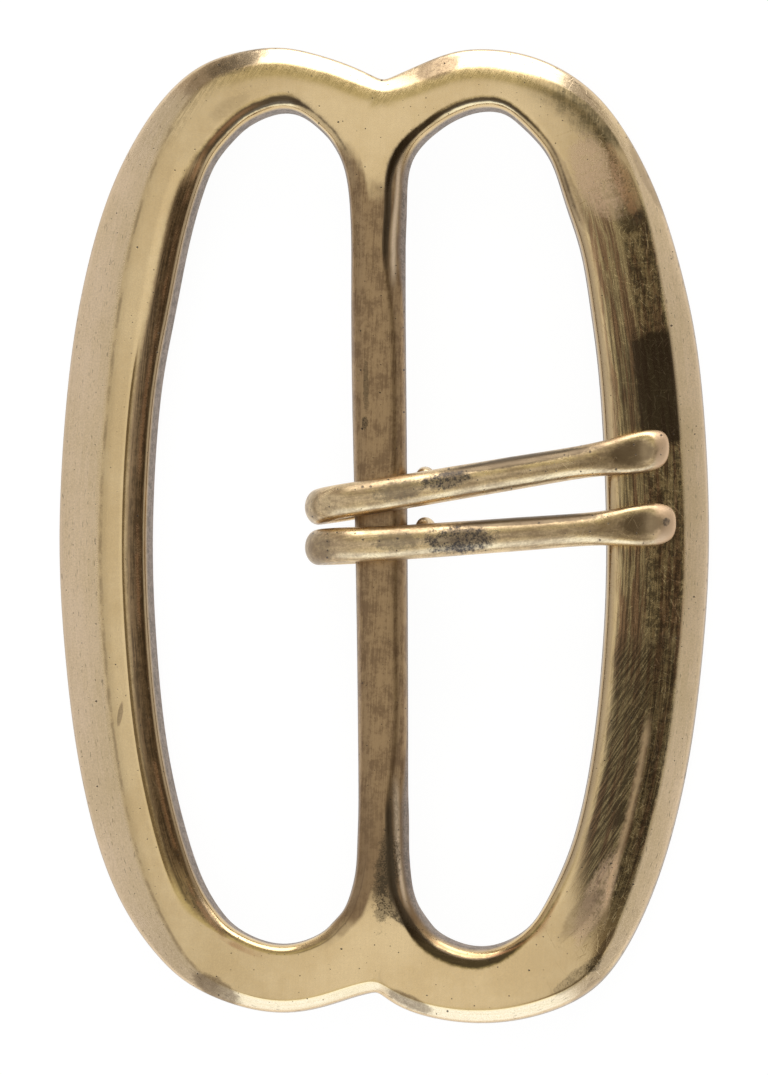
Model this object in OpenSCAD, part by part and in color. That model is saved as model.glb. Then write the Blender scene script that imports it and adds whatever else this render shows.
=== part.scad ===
/* [Frame] */
// Rise of the arched back over the resting plane, at the middle
arch_rise = 3.6; // [2.5:0.1:4.5]
// Distance from the middle at which the back reaches the resting plane
foot_x = 27.5; // [26:0.5:28.5]
// Thickness of the frame at its crown
crown_h = 3.9; // [3.4:0.1:4.5]
// Height of the ridge between the outer bevel and the crown, over the back
ridge_h = 3.5; // [3:0.1:3.8]
// Drop of the bevel where it has no width, and the drop added for each millimetre of width
bevel_base = 0.55; // [0.3:0.05:0.8]
bevel_slope = 0.33; // [0.2:0.01:0.4]

/* [Bar] */
// Diameter of the centre bar's round sides
bar_d = 4.8; // [4.4:0.1:5]
// Thickness of the centre bar between its front and back flats
bar_t = 3.7; // [3.3:0.1:4]
// Length of the bar's even stretch
bar_len = 53; // [50:1:54]

/* [Prongs] */
// Height on the bar at which each prong hangs
upper_y = 3.2; // [3:0.1:12]
lower_y = -1.2; // [-12:0.1:-1]
// Reach of each prong from the bar's axis to its tip
upper_reach = 26.4; // [24:0.1:26.8]
lower_reach = 27; // [24:0.1:27.2]
// Slope of each shank in the plane of the buckle, degrees
upper_slope = 9.7; // [0:0.1:10]
lower_slope = 4.3; // [0:0.1:5]
// Slope of each loop in the plane of the buckle, degrees
upper_loop_slope = 6; // [0:0.5:8]
lower_loop_slope = 2.5; // [0:0.5:5]
// Running clearance between a loop and the bar's round sides
loop_play = 0.15; // [0.1:0.05:0.3]
// How far each loop's tail stands out past the shank above it
upper_tail_out = 0.45; // [0:0.05:0.6]
lower_tail_out = 0.6; // [0:0.05:0.7]

/* [Hidden] */

brass = [0.80, 0.66, 0.38];
worn_brass = [0.70, 0.56, 0.34];

// How much thicker than the bar, each way, its stems are where they meet it
stem_extra = 0.2;
bar_z = arch_rise + bar_t / 2 + stem_extra;
// Inner radius of the prongs' loops
hole_r = bar_d / 2 + loop_play;

// Columns of a ring section: outer edge, edge of the opening, width of the bevel
OUTER_X = 0;
OUTER_Y = 1;
HOLE_X = 2;
HOLE_Y = 3;
BEVEL = 4;

left_ring = [
    [0.3, 41.8, -5.4, 37.0, 1.8],
    [-2.7, 43.0, -7.2, 38.3, 1.9],
    [-9.3, 44.8, -10.4, 38.5, 1.9],
    [-13.0, 44.4, -12.4, 37.4, 2.0],
    [-16.8, 43.1, -13.9, 36.0, 2.2],
    [-20.2, 40.4, -15.5, 34.2, 2.6],
    [-23.1, 36.3, -16.7, 31.0, 3.1],
    [-25.7, 30.8, -18.0, 26.4, 3.6],
    [-27.9, 22.7, -19.5, 19.3, 4.0],
    [-29.3, 13.3, -20.6, 12.6, 4.1],
    [-30.0, 0.0, -21.3, 0.0, 4.0],
    [-29.6, -10.7, -21.0, -9.8, 3.9],
    [-28.4, -19.9, -20.0, -19.0, 3.8],
    [-26.4, -29.0, -18.4, -26.6, 3.5],
    [-23.7, -35.1, -16.6, -31.7, 3.0],
    [-20.5, -39.3, -14.9, -34.8, 2.4],
    [-16.8, -42.1, -13.1, -36.5, 1.8],
    [-9.4, -44.2, -9.3, -37.6, 1.3],
    [-2.9, -43.1, -5.8, -36.7, 1.2],
    [-0.5, -42.3, -4.7, -35.8, 1.2]
];

right_ring = [
    [0.3, 41.8, 5.1, 37.0, 1.8],
    [2.9, 43.1, 7.1, 38.3, 1.9],
    [10.0, 44.6, 11.2, 38.4, 1.9],
    [13.7, 43.9, 12.6, 37.5, 1.8],
    [17.3, 42.2, 14.2, 35.9, 1.6],
    [20.7, 39.6, 15.6, 33.6, 1.4],
    [23.5, 35.4, 16.9, 29.9, 1.3],
    [25.8, 29.9, 18.1, 25.6, 1.6],
    [27.9, 22.4, 19.1, 19.6, 2.2],
    [29.2, 14.3, 19.8, 13.1, 2.4],
    [30.0, 0.0, 20.5, 0.0, 2.3],
    [29.4, -10.6, 20.1, -9.7, 2.2],
    [28.2, -20.0, 19.2, -19.1, 2.1],
    [26.2, -28.9, 17.8, -26.4, 2.1],
    [23.8, -35.3, 16.2, -30.8, 2.1],
    [21.0, -40.2, 14.5, -34.5, 2.0],
    [17.2, -43.3, 12.7, -36.5, 1.8],
    [10.0, -45.0, 9.0, -37.9, 1.4],
    [2.7, -44.2, 5.5, -36.8, 1.3],
    [-0.5, -42.3, 4.4, -35.8, 1.2]
];

// Columns of a bar section: height on its centre line, height on its edges, left edge, right edge,
// how round it is, and how much thicker than the bar it is each way
MIDDLE_Y = 0;
EDGE_Y = 1;
LEFT_X = 2;
RIGHT_X = 3;
ROUNDNESS = 4;
EXTRA = 5;
// The faceted core is thinner than the even stretch of the bar, which covers it
core_x = 2;
core_extra = -0.35;

bar_rows = [
    [38.4, 35.4, -4.3, 3.9, 0.05, stem_extra],
    [36.0, 33.3, -3.5, 3.1, 0.3, stem_extra],
    [33.0, 30.7, -3.0, 2.8, 0.7, stem_extra],
    [29.8, 28.6, -2.7, 2.65, 1, stem_extra],
    [27.0, 26.6, -2.55, 2.55, 1, stem_extra],
    [23.5, 23.5, -core_x, core_x, 1, core_extra],
    [0, 0, -core_x, core_x, 1, core_extra],
    [-23.5, -23.5, -core_x, core_x, 1, core_extra],
    [-27.0, -26.6, -2.55, 2.55, 1, stem_extra],
    [-29.8, -28.8, -2.6, 2.7, 1, stem_extra],
    [-33.4, -31.0, -2.8, 2.9, 0.7, stem_extra],
    [-36.4, -33.0, -3.2, 3.2, 0.3, stem_extra],
    [-39.4, -34.6, -3.9, 3.7, 0.05, stem_extra]
];

// Section of the frame from its ridge to its back edge: part of the way across, part of the crown's height
frame_profile = [
    [0, ridge_h / crown_h],
    [0.1, 0.955],
    [0.28, 0.99],
    [0.5, 1],
    [0.7, 0.965],
    [0.84, 0.88],
    [0.93, 0.78],
    [0.965, 0.67],
    [1, 0.1],
    [0.975, 0]
];

// How square the bar's stems are, where 2 is an ellipse
stem_squareness = 3;

steps_ring = 4;
steps_bar = 3;

function zone(t, rows) = min(floor(t), len(rows) - 2);
function blended(rows, t) =
    let (
        i = zone(t, rows),
        f = t - i,
        a = rows[max(i - 1, 0)],
        b = rows[i],
        c = rows[i + 1],
        d = rows[min(i + 2, len(rows) - 1)]
    )
    (2 * b + (c - a) * f + (2 * a - 5 * b + 4 * c - d) * f ^ 2 + (3 * b - a - 3 * c + d) * f ^ 3) / 2;
function mixed(a, b, f) = a * (1 - f) + b * f;

function back_z(x) = arch_rise * max(0, 1 - (x / foot_x) ^ 2);
function bevel_drop(width) = bevel_base + bevel_slope * width;

// A point over the plan, at a height over the arched back
function over_back(p, h) = [p[0], p[1], back_z(p[0]) + h];

// Distance from a notch over which the bevel turns to face across the frame
notch_turn = 4;

// Direction of the bevel: across the frame, but straight up or down in a notch
function bevel_way(outer, hole, notch_x) =
    let (
        f = min(1, abs(outer[0] - notch_x) / notch_turn),
        across = (hole - outer) / norm(hole - outer),
        way = mixed([0, -sign(outer[1])], across, f)
    )
    way / norm(way);

// Where the back leaves its flat foot, as part of the way across the frame
least_foot = 0.06;
function foot_part(outer, hole) = max(least_foot, (abs(outer[0]) - foot_x) / norm(hole - outer));

// One section round a side: back edge, front edge, the profile, then the inner line of the foot
function side_section(row, notch_x) =
    let (
        outer = [row[OUTER_X], row[OUTER_Y]],
        hole = [row[HOLE_X], row[HOLE_Y]],
        ridge = outer + row[BEVEL] * bevel_way(outer, hole, notch_x)
    )
    [
        over_back(outer, 0),
        over_back(outer, ridge_h - bevel_drop(row[BEVEL])),
        for (p = frame_profile) over_back(mixed(ridge, hole, p[0]), p[1] * crown_h),
        over_back(mixed(outer, hole, foot_part(outer, hole)), 0)
    ];

function power(v, n) = sign(v) * abs(v) ^ n;

// One section of the bar's half: centre of the back, centre of the front, then the profile
function bar_section(row, edge) =
    let (
        count = len(frame_profile) + 1,
        middle = [0, row[MIDDLE_Y]],
        side = [row[edge], row[EDGE_Y]],
        round = row[ROUNDNESS],
        half_t = bar_t / 2 + row[EXTRA],
        low = mixed(back_z(0), bar_z - half_t, round),
        high = mixed(back_z(0) + ridge_h, bar_z + half_t, round)
    )
    [
        [middle[0], middle[1], low],
        [middle[0], middle[1], high],
        [middle[0], middle[1], high],
        for (k = [1 : count - 1])
            let (
                turn = 90 - 180 * k / count,
                out = power(cos(turn), 2 / stem_squareness),
                up = power(sin(turn), 2 / stem_squareness),
                p = k < count - 1 ? frame_profile[k] : [0.5, 0],
                flat = over_back(mixed(middle, side, p[0]), p[1] * crown_h),
                rounded = [side[0] * out, mixed(middle[1], side[1], out), bar_z + half_t * up]
            )
            mixed(flat, rounded, round)
    ];

// All sections of one half, down its side and back up the bar
function half_sections(ring, edge) =
    let (bars = len(bar_rows) - 1)
    [
        for (i = [0 : steps_ring * (len(ring) - 1)])
            let (row = blended(ring, i / steps_ring))
            side_section(row, row[OUTER_Y] > 0 ? ring[0][OUTER_X] : ring[len(ring) - 1][OUTER_X]),
        for (i = [steps_bar * bars : -1 : 0])
            bar_section(mixed(
                bar_rows[zone(i / steps_bar, bar_rows)],
                bar_rows[zone(i / steps_bar, bar_rows) + 1],
                i / steps_bar - zone(i / steps_bar, bar_rows)
            ), edge)
    ];

// Faces of one half: full strips round the side, and no outer wall along the bar
function half_faces(first, sections, sides, flip) =
    let (per = len(frame_profile) + 3)
    [
        for (i = [0 : sections - 1])
            for (k = [0 : per - 1])
                if (k > 1 || i < sides)
                    let (
                        j = (i + 1) % sections,
                        m = (k + 1) % per,
                        a = first + i * per + k,
                        b = first + i * per + m,
                        c = first + j * per + m,
                        d = first + j * per + k
                    )
                    each flip ? [[a, b, c], [a, c, d]] : [[c, b, a], [d, c, a]]
    ];

module cast_frame() {
    left = half_sections(left_ring, LEFT_X);
    right = half_sections(right_ring, RIGHT_X);
    per = len(left[0]);
    sides = steps_ring * (len(left_ring) - 1);
    points = [for (s = concat(left, right)) each s];
    polyhedron(points, concat(
        half_faces(0, len(left), sides, true),
        half_faces(len(left) * per, len(right), sides, false)
    ), convexity = 6);
}

// The even stretch of the bar that the prongs turn on
module bar_stretch() {
    translate([0, bar_len / 2, bar_z])
        rotate([90, 0, 0])
            linear_extrude(bar_len)
                intersection() {
                    circle(d = bar_d, $fn = 64);
                    square([bar_d + 1, bar_t], center = true);
                }
}

module frame() {
    color(brass) union() {
        cast_frame();
        bar_stretch();
    }
}

// Columns of a prong section: reach, height over the bar's axis, width, thickness, depth of the dish
REACH = 0;
LIFT = 1;
WIDTH = 2;
THICK = 3;
DISH = 4;

// Centres of the loop's two bends, from the bar's axis
loop_left = -1.9;
loop_right = 0.5;
// The wire's tail: its thickness and width, and the turn at which it ends
tail_t = 2.2;
tail_w = 2.9;
tail_turn = 28;
// Section of the tail's rounded end, and of the wire just before it
nub = [1.2, 0.8];
neck = [2.3, 1.7];
// Reach that the rows below are drawn for, and where a longer or shorter shank starts to stretch
nominal_reach = 26.8;
stretch_from = 6.5;

shank_rows = [
    [loop_left, hole_r + 1.35, 3.3, 2.7, 0],
    [0.5, hole_r + 1.4, 3.25, 2.8, 0],
    [3, hole_r + 1.32, 3.25, 3.0, 0],
    [6.5, 3.5, 3.25, 3.1, 0],
    [12, 2.75, 3.2, 3.0, 0],
    [17, 1.95, 3.1, 2.8, 0],
    [20, 1.45, 3.2, 2.6, 0.1],
    [22.5, 0.98, 3.7, 2.5, 0.35],
    [24.5, 0.55, 4.0, 2.4, 0.4],
    [25.9, 0.2, 3.6, 2.1, 0.2],
    [26.6, 0, 2.4, 1.5, 0],
    [26.8, -0.05, 1.1, 0.7, 0]
];

wire_sides = 14;
steps_bend = 8;
steps_shank = 2;

// Sideways place along the prong: the loop and the shank have their own slopes, with a soft bend between
soft_bend = 2;
function sway(x, loop_slope, slope) =
    x * tan(loop_slope) + (x > 0 ? (tan(slope) - tan(loop_slope)) * x ^ 2 / (x + soft_bend) : 0);

// The bent wire as rows of [x, y, z, width, thickness, dish], from the tail to the tip
function wire_rows(reach, slope, loop_slope, tail_out) =
    let (
        low_r = hole_r + tail_t / 2,
        high_r = shank_rows[0][LIFT],
        stretch = (reach - stretch_from) / (nominal_reach - stretch_from)
    )
    [
        for (i = [-1 : steps_bend])
            let (
                turn = i < 0 ? tail_turn : mixed(tail_turn - 4, -90, i / steps_bend),
                x = loop_right + low_r * cos(turn),
                size = i < 0 ? nub : i < 1 ? neck : [tail_w, tail_t]
            )
            [x, tail_out * (1 - max(i, 0) / steps_bend) + sway(x, loop_slope, slope),
                low_r * sin(turn), size[0], size[1], 0],
        for (i = [0 : 2 * steps_bend])
            let (
                f = i / (2 * steps_bend),
                turn = mixed(-90, -270, f),
                r = mixed(low_r, high_r, f),
                x = loop_left + r * cos(turn)
            )
            [x, sway(x, loop_slope, slope), r * sin(turn),
                mixed(tail_w, shank_rows[0][WIDTH], min(1, 2 * f)),
                mixed(tail_t, shank_rows[0][THICK], f), 0],
        for (i = [1 : steps_shank * (len(shank_rows) - 1)])
            let (
                row = blended(shank_rows, i / steps_shank),
                x = min(row[REACH], stretch_from) + max(row[REACH] - stretch_from, 0) * stretch
            )
            [x, sway(x, loop_slope, slope), row[LIFT], row[WIDTH], row[THICK], row[DISH]]
    ];

// Part of the half width that the dish takes
dish_part = 0.8;

// One ring of the wire, square to its run, with the dish pressed into its upper side
function wire_ring(rows, i) =
    let (
        p = rows[i],
        ahead = rows[min(i + 1, len(rows) - 1)],
        behind = rows[max(i - 1, 0)],
        run = [ahead[0] - behind[0], ahead[2] - behind[2]],
        way = run / norm(run)
    )
    [
        for (k = [0 : wire_sides - 1])
            let (
                turn = 360 * k / wire_sides,
                out = cos(turn) * p[3] / 2,
                pressed = p[5] * max(0, 1 - (cos(turn) / dish_part) ^ 2),
                up = sin(turn) * p[4] / 2 - (sin(turn) > 0 ? pressed : 0)
            )
            [p[0] - way[1] * up, p[1] + out, p[2] + way[0] * up]
    ];

module prong(y, reach, slope, loop_slope, tail_out) {
    rows = wire_rows(reach, slope, loop_slope, tail_out);
    count = len(rows);
    translate([0, y, bar_z])
        polyhedron([for (i = [0 : count - 1]) each wire_ring(rows, i)], [
            [for (k = [0 : wire_sides - 1]) k],
            for (i = [0 : count - 2])
                for (k = [0 : wire_sides - 1])
                    let (
                        m = (k + 1) % wire_sides,
                        a = i * wire_sides + k,
                        b = i * wire_sides + m,
                        c = b + wire_sides,
                        d = a + wire_sides
                    )
                    each [[a, d, c], [a, c, b]],
            [for (k = [wire_sides - 1 : -1 : 0]) (count - 1) * wire_sides + k]
        ], convexity = 6);
}

module prong_upper() {
    color(worn_brass) prong(upper_y, upper_reach, upper_slope, upper_loop_slope, upper_tail_out);
}

module prong_lower() {
    color(worn_brass) prong(lower_y, lower_reach, lower_slope, lower_loop_slope, lower_tail_out);
}

frame();
prong_upper();
prong_lower();
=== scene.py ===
import math

import bmesh
import bpy
from mathutils import Matrix, Vector


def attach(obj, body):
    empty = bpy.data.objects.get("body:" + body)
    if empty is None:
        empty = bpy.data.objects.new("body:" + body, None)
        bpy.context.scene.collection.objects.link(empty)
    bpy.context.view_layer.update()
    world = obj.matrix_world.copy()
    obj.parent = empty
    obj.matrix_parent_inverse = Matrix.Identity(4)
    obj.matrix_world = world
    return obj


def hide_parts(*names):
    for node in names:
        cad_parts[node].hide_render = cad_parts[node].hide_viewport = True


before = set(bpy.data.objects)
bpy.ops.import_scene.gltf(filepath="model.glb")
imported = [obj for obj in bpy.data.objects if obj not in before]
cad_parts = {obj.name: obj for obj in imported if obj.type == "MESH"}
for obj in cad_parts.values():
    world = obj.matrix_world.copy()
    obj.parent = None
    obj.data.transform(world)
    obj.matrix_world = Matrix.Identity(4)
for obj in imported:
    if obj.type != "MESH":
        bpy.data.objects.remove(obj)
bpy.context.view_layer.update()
scene = bpy.context.scene
mm = 0.001


def evened(rows, closed):
    # control rows whose smooth curve runs through the measured ones
    last = len(rows) - 1
    out = []
    for i, row in enumerate(rows):
        if not closed and i in (0, last):
            out.append(list(row))
            continue
        before, after = rows[i - 1], rows[(i + 1) % len(rows)]
        out.append([b - (a - 2 * b + c) / 6 for a, b, c in zip(before, row, after)])
    return out


def rowAt(rows, place, closed):
    # the row at a place between the control rows, such as 3.5, on a cubic spline
    i = min(int(place), len(rows) - (1 if closed else 2))
    f = place - i
    four = []
    for k in (i - 1, i, i + 1, i + 2):
        if closed:
            four.append(rows[k % len(rows)])
        elif k < 0:
            four.append([2 * a - b for a, b in zip(rows[0], rows[1])])
        elif k >= len(rows):
            four.append([2 * a - b for a, b in zip(rows[-1], rows[-2])])
        else:
            four.append(rows[k])
    weights = ((1 - f) ** 3, 3 * f ** 3 - 6 * f * f + 4, 3 * f + 3 * f * f + 1 - 3 * f ** 3, f ** 3)
    return [sum(w * row[n] for w, row in zip(weights, four)) / 6 for n in range(len(rows[0]))]


def mixed(a, b, part):
    return a + (b - a) * part


def eased(low, high, value):
    part = min(1, max(0, (value - low) / (high - low)))
    return part * part * (3 - 2 * part)


def startedMesh():
    # its points carry their place on the surface and the kind of surface, for the finishes
    bm = bmesh.new()
    for name in ("place", "kind"):
        bm.verts.layers.float_vector.new(name)
    return bm


def setSpot(bm, point, spot):
    point.co = spot[0]
    for name, value in zip(("place", "kind"), spot[1:]):
        point[bm.verts.layers.float_vector[name]] = value


def firstLoop(bm, spots):
    loop = bmesh.ops.create_circle(bm, segments=len(spots), radius=mm)["verts"]
    for point, spot in zip(loop, spots):
        setSpot(bm, point, spot)
    return loop


def pulledLoop(bm, loop, spots, closed=True):
    # the next loop of points, extruded from the last one
    ends = zip(loop, loop[1:] + loop[:1]) if closed else zip(loop[:-1], loop[1:])
    edges = [bm.edges.get(pair) for pair in ends]
    made = bmesh.ops.extrude_edge_only(bm, edges=edges)["geom"]
    fresh = {item for item in made if isinstance(item, bmesh.types.BMVert)}
    out = []
    for point, spot in zip(loop, spots):
        near = next(edge.other_vert(point) for edge in point.link_edges if edge.other_vert(point) in fresh)
        setSpot(bm, near, spot)
        out.append(near)
    return out


def madePiece(bm, name, body, node, levels):
    mesh = bpy.data.meshes.new(name)
    bm.to_mesh(mesh)
    bm.free()
    for face in mesh.polygons:
        face.use_smooth = True
    piece = bpy.data.objects.new(name, mesh)
    scene.collection.objects.link(piece)
    smooth = piece.modifiers.new("smooth", "SUBSURF")
    smooth.levels = smooth.render_levels = levels
    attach(piece, body)
    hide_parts(node)
    return piece


# the cast frame, in millimetres: both bows, the notched ends and the bar
frameLook = {
    "archRise": 3.6,  # how far the middle of the back stands off the table
    "footX": 27.5,  # where the arch meets the table
    "notchTurn": 4,  # the bevels turn to face a notch over this width
    "bevelDrop": (0.55, 0.33),  # how far a bevel falls, and how much more for each millimetre of its width
    "bevelSteps": (0.1, 0.5, 0.92),
    "bevelSwell": 0.03,
    "rimSoft": 0.1,  # the rim's rounded edge, which is partly cast
    "rimCast": 0.6,
    "sideStep": 0.85,
    "footIn": 0.06,  # the least part of the way in to the opening at which the back starts
    "farFromOpening": 9,  # given to the bevels, to keep them out of the tarnish round the openings
    "mergeWithin": 0.02,
    "smoothing": 2,
    "stepsRound": 3,  # stations for each row round a bow, and for each row of the bar
    "stepsBar": 2,
    "bowSide": {
        # outer x and y, opening x and y, bevel width, section
        "left": [
            (0.3, 41.6, -5.45, 37.0, 1.2, "notchLeft"),
            (-2.65, 43.05, -7.1, 38.4, 1.5, "notchLeft"),
            (-5.95, 44.15, -8.8, 38.8, 1.6, "topLeft"),
            (-9.25, 44.85, -10.4, 38.5, 1.6, "topLeft"),
            (-13.0, 44.45, -12.4, 37.55, 1.7, "topLeft"),
            (-16.8, 43.25, -13.9, 36.05, 1.9, "topLeft"),
            (-20.2, 40.35, -15.45, 34.15, 2.4, "topLeft"),
            (-23.05, 36.3, -16.65, 31.0, 3.0, "leftBow"),
            (-25.7, 30.85, -17.95, 26.4, 3.6, "leftBow"),
            (-27.95, 22.7, -19.3, 19.25, 4.0, "leftBow"),
            (-29.35, 13.3, -20.6, 12.6, 4.1, "leftBow"),
            (-30.15, 0.0, -21.35, 0.0, 4.0, "leftBow"),
            (-29.55, -10.7, -20.95, -9.8, 3.9, "leftBow"),
            (-28.5, -19.95, -20.1, -19.0, 3.8, "leftBow"),
            (-26.4, -29.0, -18.4, -26.6, 3.5, "leftBow"),
            (-23.6, -35.1, -16.7, -31.75, 2.9, "leftBow"),
            (-20.4, -39.2, -14.8, -34.75, 2.1, "topLeft"),
            (-16.75, -42.05, -13.05, -36.4, 1.4, "lowLeft"),
            (-9.4, -44.3, -9.3, -37.8, 1.05, "lowLeft"),
            (-3.15, -42.6, -5.8, -36.65, 1.0, "lowLeft"),
            (-0.5, -42.1, -4.8, -35.65, 1.0, "lowLeft"),
        ],
        "right": [
            (0.3, 41.6, 5.2, 36.9, 1.2, "notchRight"),
            (3.05, 42.8, 6.65, 37.9, 1.6, "topRight"),
            (6.6, 44.25, 8.9, 38.75, 1.8, "topRight"),
            (10.0, 44.5, 11.15, 38.7, 1.9, "topRight"),
            (13.7, 43.95, 12.6, 37.65, 1.9, "topRight"),
            (17.35, 42.3, 14.25, 36.05, 1.55, "shoulder"),
            (20.65, 39.5, 15.8, 33.8, 1.2, "shoulder"),
            (23.4, 35.3, 16.9, 29.9, 1.15, "shoulder"),
            (25.85, 29.9, 18.35, 25.75, 1.6, "rightBow"),
            (27.9, 22.4, 19.2, 19.6, 2.2, "rightBow"),
            (29.3, 14.3, 20.0, 13.1, 2.4, "rightBow"),
            (30.0, 0.0, 20.5, 0.0, 2.3, "rightBow"),
            (29.3, -10.6, 20.15, -9.7, 2.2, "rightBow"),
            (28.15, -20.0, 19.25, -19.1, 2.1, "rightBow"),
            (26.1, -28.85, 17.85, -26.4, 2.1, "rightBow"),
            (23.7, -35.25, 16.3, -30.85, 1.85, "rightBow"),
            (20.9, -40.1, 14.45, -34.5, 1.25, "lowTurn"),
            (17.15, -43.25, 12.75, -36.6, 1.25, "lowTurn"),
            (10.0, -45.15, 9.05, -38.1, 1.15, "lowRight"),
            (2.75, -44.1, 5.5, -36.85, 1.1, "lowRight"),
            (-0.5, -42.1, 4.4, -35.8, 1.0, "lowRight"),
        ],
    },
    "bar": [
        # y in the middle, y at the edges, left edge, right edge, section
        (-39.4, -34.6, -3.7, 3.5, "fork"),
        (-36.4, -33.0, -3.0, 2.85, "stem"),
        (-33.4, -31.0, -2.5, 2.6, "highStem"),
        (-29.8, -28.8, -2.4, 2.45, "stem"),
        (-27.0, -26.6, -2.3, 2.5, "stem"),
        (-24.2, -24.2, -2.25, 2.4, "softStem"),
        (-20.0, -20.0, -2.25, 2.4, "bar"),
        (-12.0, -12.0, -2.3, 2.4, "bar"),
        (0.0, 0.0, -2.45, 2.4, "bar"),
        (12.0, 12.0, -2.7, 2.35, "bar"),
        (20.0, 20.0, -2.75, 2.3, "bar"),
        (24.2, 24.2, -2.75, 2.35, "softStem"),
        (27.0, 26.6, -2.75, 2.35, "stem"),
        (29.8, 28.6, -2.8, 2.45, "stem"),
        (33.0, 30.7, -2.9, 2.5, "highStem"),
        (36.0, 33.3, -3.25, 2.65, "innerFork"),
        (38.0, 35.2, -4.1, 3.45, "midFork"),
        (39.75, 36.25, -4.75, 4.4, "topFork"),
    ],
    # the front of a section: part of the way to the opening, height over the back
    "front": {
        "round": [(0, 3.58), (0.05, 3.66), (0.1, 3.73), (0.16, 3.8), (0.23, 3.86), (0.31, 3.89), (0.42, 3.9)],
        "sharp": [(0, 3.83), (0.012, 3.86), (0.03, 3.88), (0.06, 3.89), (0.12, 3.9), (0.22, 3.9), (0.4, 3.9)],
        "steep": [(0, 3.5), (0.03, 3.59), (0.06, 3.67), (0.09, 3.75), (0.13, 3.82), (0.18, 3.87), (0.3, 3.9)],
        "left": [(0, 3.5), (0.05, 3.6), (0.1, 3.7), (0.17, 3.8), (0.25, 3.87), (0.34, 3.88), (0.43, 3.82)],
        "right": [
            (0, 3.54), (0.03, 3.57), (0.12, 3.65), (0.24, 3.745), (0.34, 3.81), (0.46, 3.84), (0.67, 3.88),
        ],
        "flat": [(0, 3.9), (0.05, 3.9), (0.12, 3.9), (0.2, 3.9), (0.28, 3.9), (0.36, 3.9), (0.44, 3.9)],
        "stem": [(n / 100, 3.92) for n in range(7)],
    },
    # the edge of a section: distance back from the opening, height over the back, tarnish in the hollow
    "edge": {
        "band": [
            (2.0, 3.9, 0), (1.7, 3.85, 0.3), (1.25, 3.66, 0.9), (0.9, 3.5, 0.9),
            (0.68, 3.32, 0.4), (0.42, 3.05, 0.2), (0.28, 2.6, 0), (0.12, 1.2, 0),
        ],
        "closeBand": [
            (1.6, 3.9, 0), (1.35, 3.88, 0.4), (1.05, 3.78, 0.9), (0.75, 3.67, 0.9),
            (0.58, 3.56, 0.4), (0.35, 3.22, 0.1), (0.2, 2.65, 0), (0.08, 1.2, 0),
        ],
        "midBand": [
            (1.8, 3.9, 0), (1.55, 3.88, 0.4), (1.25, 3.78, 0.9), (0.95, 3.67, 0.9),
            (0.75, 3.56, 0.4), (0.45, 3.22, 0.1), (0.22, 2.65, 0), (0.08, 1.2, 0),
        ],
        "innerBand": [
            (2.25, 3.91, 0.1), (2.0, 3.88, 0.6), (1.7, 3.8, 1), (1.4, 3.68, 0.9),
            (1.15, 3.56, 0.3), (0.7, 3.15, 0.1), (0.3, 2.6, 0.1), (0.04, 1.5, 0.1),
        ],
        "farBand": [
            (2.75, 3.92, 0.3), (2.55, 3.9, 0.9), (2.3, 3.84, 1), (2.05, 3.75, 0.8),
            (1.75, 3.59, 0.1), (1.05, 3.15, 0.1), (0.5, 2.65, 0.3), (0, 1.8, 0.2),
        ],
        "thinBand": [
            (1.5, 3.9, 0), (1.25, 3.87, 0.3), (0.98, 3.76, 0.8), (0.8, 3.68, 0.8),
            (0.58, 3.5, 0.3), (0.32, 3.22, 0.1), (0.2, 2.65, 0), (0.1, 1.2, 0),
        ],
        "soft": [
            (1.3, 3.9, 0), (1.05, 3.875, 0.2), (0.82, 3.79, 0.6), (0.66, 3.72, 0.6),
            (0.44, 3.54, 0.2), (0.24, 3.28, 0.1), (0.16, 2.65, 0), (0.08, 1.2, 0),
        ],
        "wideBand": [
            (2.4, 3.9, 0), (2.15, 3.87, 0.5), (1.8, 3.77, 1), (1.45, 3.64, 1),
            (1.2, 3.52, 0.4), (0.75, 3.15, 0), (0.35, 2.75, 0), (0.1, 1.2, 0),
        ],
        "leftHollow": [
            (2.6, 3.71, 0.1), (2.15, 3.53, 0.6), (1.6, 3.28, 1), (1.1, 3.04, 0.9),
            (0.85, 2.9, 0.6), (0.57, 2.67, 0.4), (0.42, 2.33, 0), (0.15, 1.1, 0),
        ],
        "rightRound": [
            (1.7, 3.89, 0), (1.35, 3.885, 0), (1.0, 3.83, 0), (0.76, 3.73, 0),
            (0.48, 3.5, 0), (0.24, 3.15, 0), (0.15, 2.5, 0), (0.06, 1.2, 0),
        ],
        "stemLight": [
            (1.7, 3.92, 0), (1.35, 3.88, 0), (1.0, 3.73, 0), (0.75, 3.59, 0),
            (0.5, 3.42, 0), (0.25, 3.15, 0), (0.12, 2.75, 0), (0, 1.9, 0),
        ],
        "stemDark": [
            (2.2, 3.92, 0.3), (2.05, 3.9, 1), (1.85, 3.84, 1), (1.65, 3.75, 0.8),
            (1.4, 3.59, 0.1), (0.85, 3.15, 0.1), (0.4, 2.65, 0.3), (0, 1.8, 0.2),
        ],
        "stemSoft": [
            (2.15, 3.92, 0), (2.0, 3.9, 0.2), (1.8, 3.85, 0.3), (1.6, 3.77, 0.3),
            (1.3, 3.62, 0.2), (0.75, 3.25, 0.2), (0.3, 2.7, 0.3), (0, 1.8, 0.3),
        ],
        "bar": [
            (1.5, 3.9, 0), (1.1, 3.82, 0), (0.78, 3.68, 0), (0.52, 3.47, 0),
            (0.3, 3.15, 0), (0.14, 2.8, 0), (0.04, 2.4, 0), (0, 1.9, 0),
        ],
    },
    "under": {"open": [(0, 0.2), (0.15, 0)], "bar": [(0.1, 1.2), (0.75, 0.3)]},
    # the front, the edge and the under side of each section that the rows name, with the bar's left edge
    # before its right one
    "section": {
        "topLeft": ("round", "band", "open"),
        "notchLeft": ("round", "soft", "open"),
        "notchRight": ("round", "closeBand", "open"),
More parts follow.
